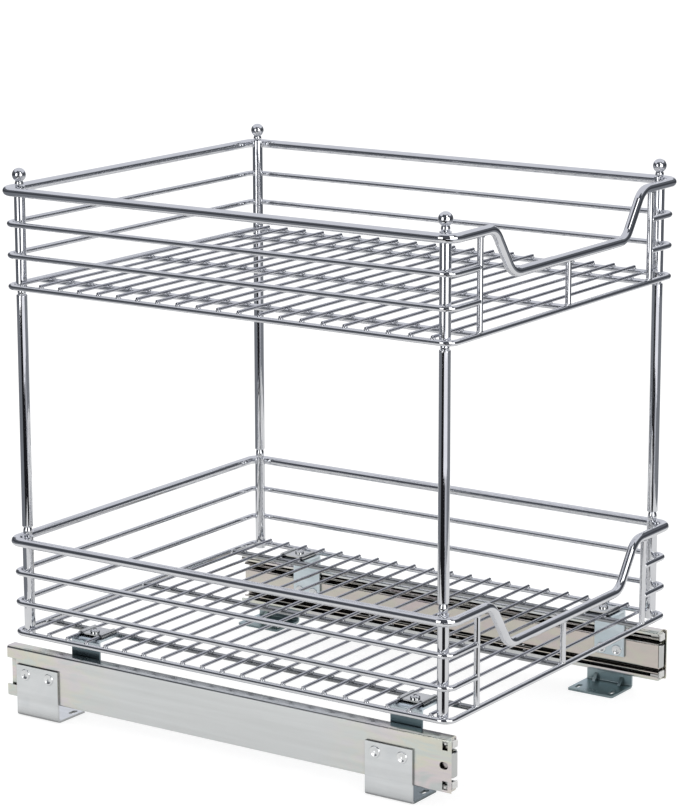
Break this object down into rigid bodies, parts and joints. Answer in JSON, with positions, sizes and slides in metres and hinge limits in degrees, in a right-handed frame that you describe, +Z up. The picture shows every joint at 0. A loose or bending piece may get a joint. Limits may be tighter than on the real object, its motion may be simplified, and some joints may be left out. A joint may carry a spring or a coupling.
{
  "type": "under sink organizer",
  "caption": "Tiered chrome wire basket with ball finials and dipped front rails, pulling out on ball-bearing slides that stand on slotted feet.",
  "frame": {"origin": "centre of the footprint, on the underside of the feet, with the basket closed", "axes": "+Z up, -Y towards the dipped front, where the basket pulls out, +X to the right of someone who faces that front"},
  "size_m": [0.3708, 0.4596, 0.4815],
  "materials": {
    "chrome_wire": "bright chrome plate",
    "rail_zinc": "satin zinc plate with a faint iridescence",
    "foot_zinc": "satin bluish zinc plate",
    "support_zinc": "satin bluish zinc plate",
    "rivet_zinc": "bright zinc plate",
    "clip_steel": "bright nickel plate",
    "screw_zinc": "bright zinc plate",
    "cage_steel": "bare spring steel with grease",
    "ball_steel": "polished",
    "stop_plastic": "moulded"
  },
  "bodies": {
    "base": {"left_outer_rail": "rail_zinc", "left_stop_blocks": "stop_plastic", "left_front_foot": "foot_zinc", "left_rear_foot": "foot_zinc", "left_foot_rivets": "rivet_zinc", "right_outer_rail": "rail_zinc", "right_stop_blocks": "stop_plastic", "right_front_foot": "foot_zinc", "right_rear_foot": "foot_zinc", "right_foot_rivets": "rivet_zinc"},
    "left_middle": {"left_middle_rail": "rail_zinc"},
    "right_middle": {"right_middle_rail": "rail_zinc"},
    "left_outer_retainer": {"left_outer_cage": "cage_steel", "left_outer_balls": "ball_steel"},
    "left_inner_retainer": {"left_inner_cage": "cage_steel", "left_inner_balls": "ball_steel"},
    "right_outer_retainer": {"right_outer_cage": "cage_steel", "right_outer_balls": "ball_steel"},
    "right_inner_retainer": {"right_inner_cage": "cage_steel", "right_inner_balls": "ball_steel"},
    "basket": {"left_inner_rail": "rail_zinc", "left_front_support": "support_zinc", "left_rear_support": "support_zinc", "left_support_rivets": "rivet_zinc", "right_inner_rail": "rail_zinc", "right_front_support": "support_zinc", "right_rear_support": "support_zinc", "right_support_rivets": "rivet_zinc", "saddle_clips": "clip_steel", "clip_screws": "screw_zinc", "lower_tray_bottom_ring": "chrome_wire", "lower_tray_lower_side_wire": "chrome_wire", "lower_tray_upper_side_wire": "chrome_wire", "lower_tray_top_rail": "chrome_wire", "lower_tray_floor_wires": "chrome_wire", "lower_tray_cross_wires": "chrome_wire", "lower_tray_uprights": "chrome_wire", "lower_tray_front_left_post": "chrome_wire", "lower_tray_front_right_post": "chrome_wire", "lower_tray_rear_left_post": "chrome_wire", "lower_tray_rear_right_post": "chrome_wire", "upper_tray_bottom_ring": "chrome_wire", "upper_tray_lower_side_wire": "chrome_wire", "upper_tray_upper_side_wire": "chrome_wire", "upper_tray_top_rail": "chrome_wire", "upper_tray_floor_wires": "chrome_wire", "upper_tray_cross_wires": "chrome_wire", "upper_tray_uprights": "chrome_wire", "upper_tray_front_left_post": "chrome_wire", "upper_tray_front_right_post": "chrome_wire", "upper_tray_rear_left_post": "chrome_wire", "upper_tray_rear_right_post": "chrome_wire", "front_left_tube": "chrome_wire", "front_right_tube": "chrome_wire", "rear_left_tube": "chrome_wire", "rear_right_tube": "chrome_wire", "lower_joining_studs": "chrome_wire", "upper_joining_studs": "chrome_wire", "finials": "chrome_wire"}
  },
  "joints": [
    {"name": "basket_pull", "type": "slide", "parent": "base", "child": "basket", "axis": [0, -1, 0], "range_m": [0, 0.45]},
    {"name": "left_middle_travel", "type": "slide", "parent": "base", "child": "left_middle", "axis": [0, -1, 0], "range_m": [0, 0.225]},
    {"name": "left_outer_retainer_travel", "type": "slide", "parent": "base", "child": "left_outer_retainer", "axis": [0, -1, 0], "range_m": [0, 0.1125]},
    {"name": "left_inner_retainer_travel", "type": "slide", "parent": "base", "child": "left_inner_retainer", "axis": [0, -1, 0], "range_m": [0, 0.3375]},
    {"name": "right_middle_travel", "type": "slide", "parent": "base", "child": "right_middle", "axis": [0, -1, 0], "range_m": [0, 0.225]},
    {"name": "right_outer_retainer_travel", "type": "slide", "parent": "base", "child": "right_outer_retainer", "axis": [0, -1, 0], "range_m": [0, 0.1125]},
    {"name": "right_inner_retainer_travel", "type": "slide", "parent": "base", "child": "right_inner_retainer", "axis": [0, -1, 0], "range_m": [0, 0.3375]}
  ],
  "couplings": [
    {"joint": "left_middle_travel", "follows": "basket_pull", "ratio": 0.5},
    {"joint": "left_outer_retainer_travel", "follows": "basket_pull", "ratio": 0.25},
    {"joint": "left_inner_retainer_travel", "follows": "basket_pull", "ratio": 0.75},
    {"joint": "right_middle_travel", "follows": "basket_pull", "ratio": 0.5},
    {"joint": "right_outer_retainer_travel", "follows": "basket_pull", "ratio": 0.25},
    {"joint": "right_inner_retainer_travel", "follows": "basket_pull", "ratio": 0.75}
  ]
}
